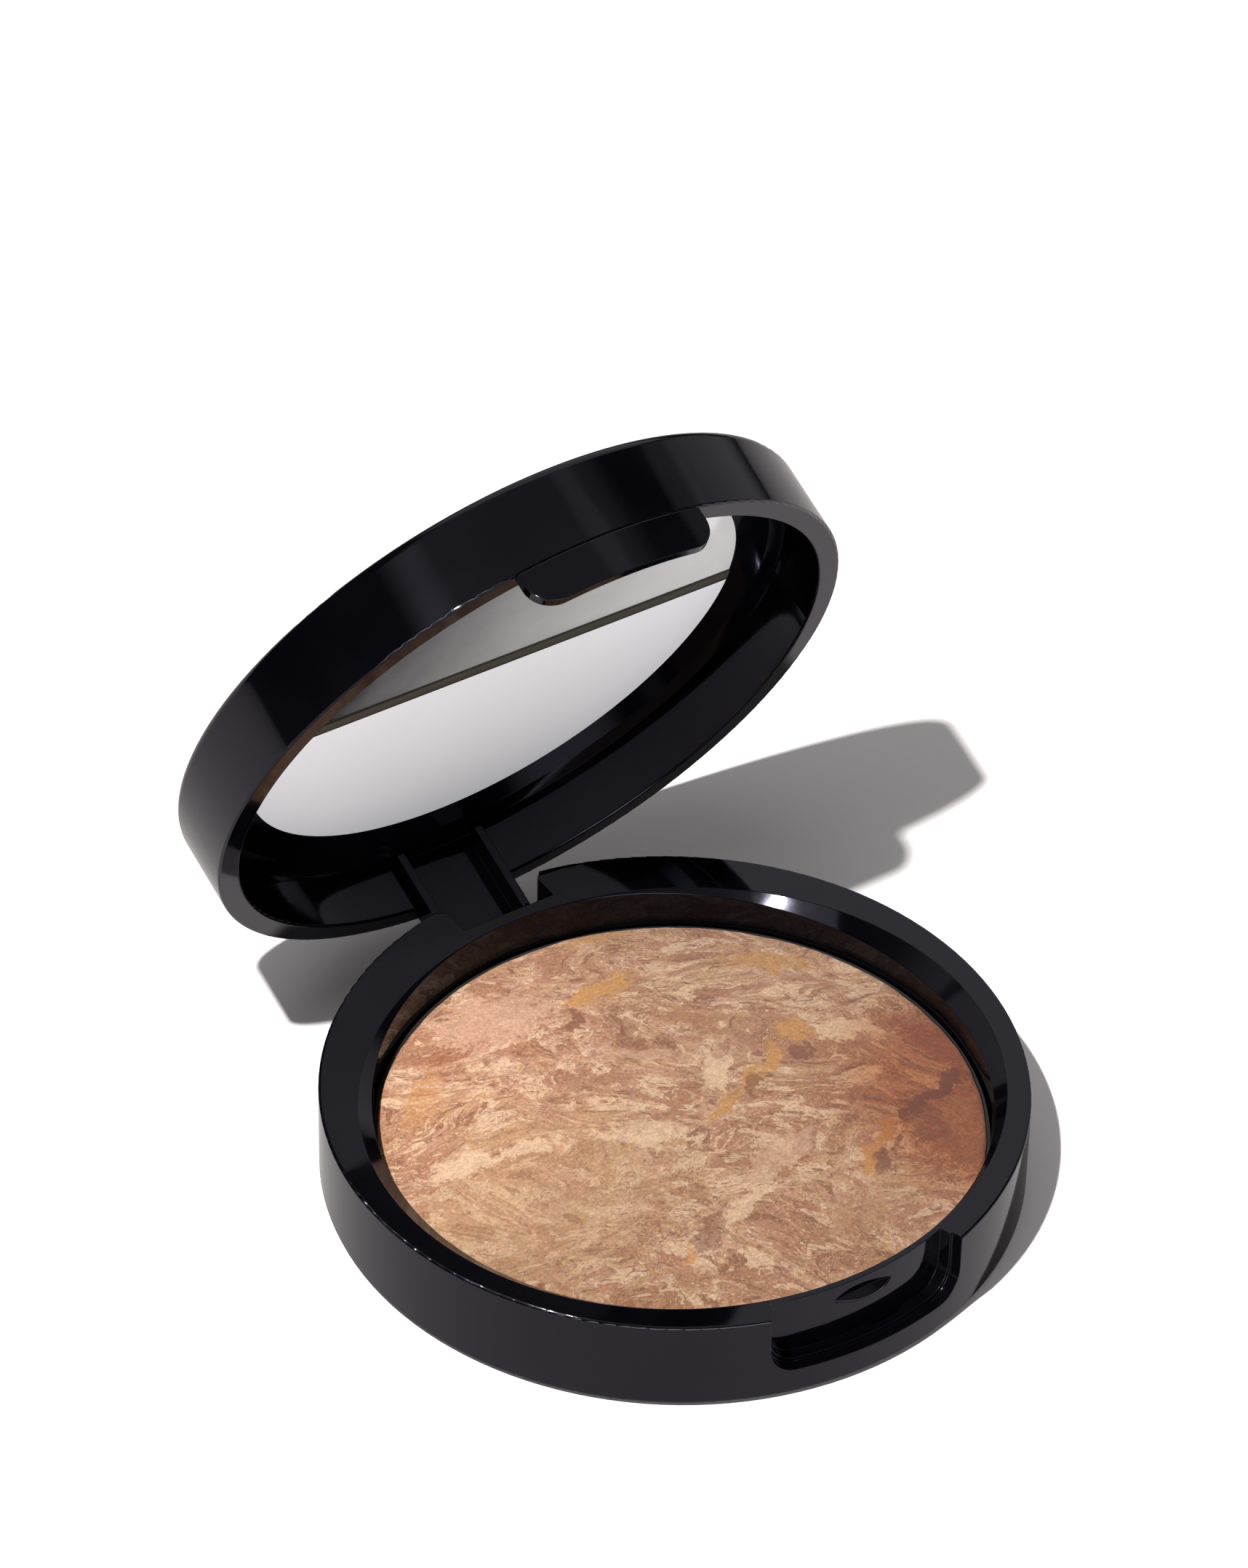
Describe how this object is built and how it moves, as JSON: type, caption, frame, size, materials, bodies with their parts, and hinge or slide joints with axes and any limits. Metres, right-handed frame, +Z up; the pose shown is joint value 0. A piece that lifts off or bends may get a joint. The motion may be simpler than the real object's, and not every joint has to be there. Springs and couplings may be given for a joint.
{
  "type": "powder compact",
  "caption": "Round black powder compact, open, with a mirror in the hinged lid and a domed marbled baked powder in the base.",
  "frame": {"origin": "centre of the base's flat underside, on the surface that the compact stands on", "axes": "+Z up, +Y from the latch at the front towards the hinge at the back, +X along the hinge axis"},
  "size_m": [0.085, 0.1007, 0.0879],
  "materials": {
    "case_plastic": "polished black moulding",
    "pin_steel": "plain ground pin",
    "glue": "dull hot-melt adhesive",
    "terracotta": "bare fired clay",
    "powder": "matte baked powder with a fine shimmer",
    "mirror": "silvered glass",
    "tape": "foam adhesive pad",
    "film": "thin pale protective film with a dark strip along its straight edge"
  },
  "bodies": {
    "base": {"base_shell": "case_plastic", "base_plate": "case_plastic", "hinge_pin": "pin_steel", "disc_glue": "glue", "terracotta_disc": "terracotta", "baked_powder": "powder"},
    "lid": {"lid_shell": "case_plastic", "hinge_arm": "case_plastic", "latch_tab": "case_plastic", "mirror_bezel": "case_plastic", "mirror_glass": "mirror", "mirror_tape": "tape", "mirror_film": "film"}
  },
  "joints": [
    {"name": "lid_hinge", "type": "hinge", "parent": "base", "child": "lid", "pos_m": [0, 0.04015, 0.00465], "axis": [-1, 0, 0], "range_deg": [-67.6, 24.4]}
  ]
}
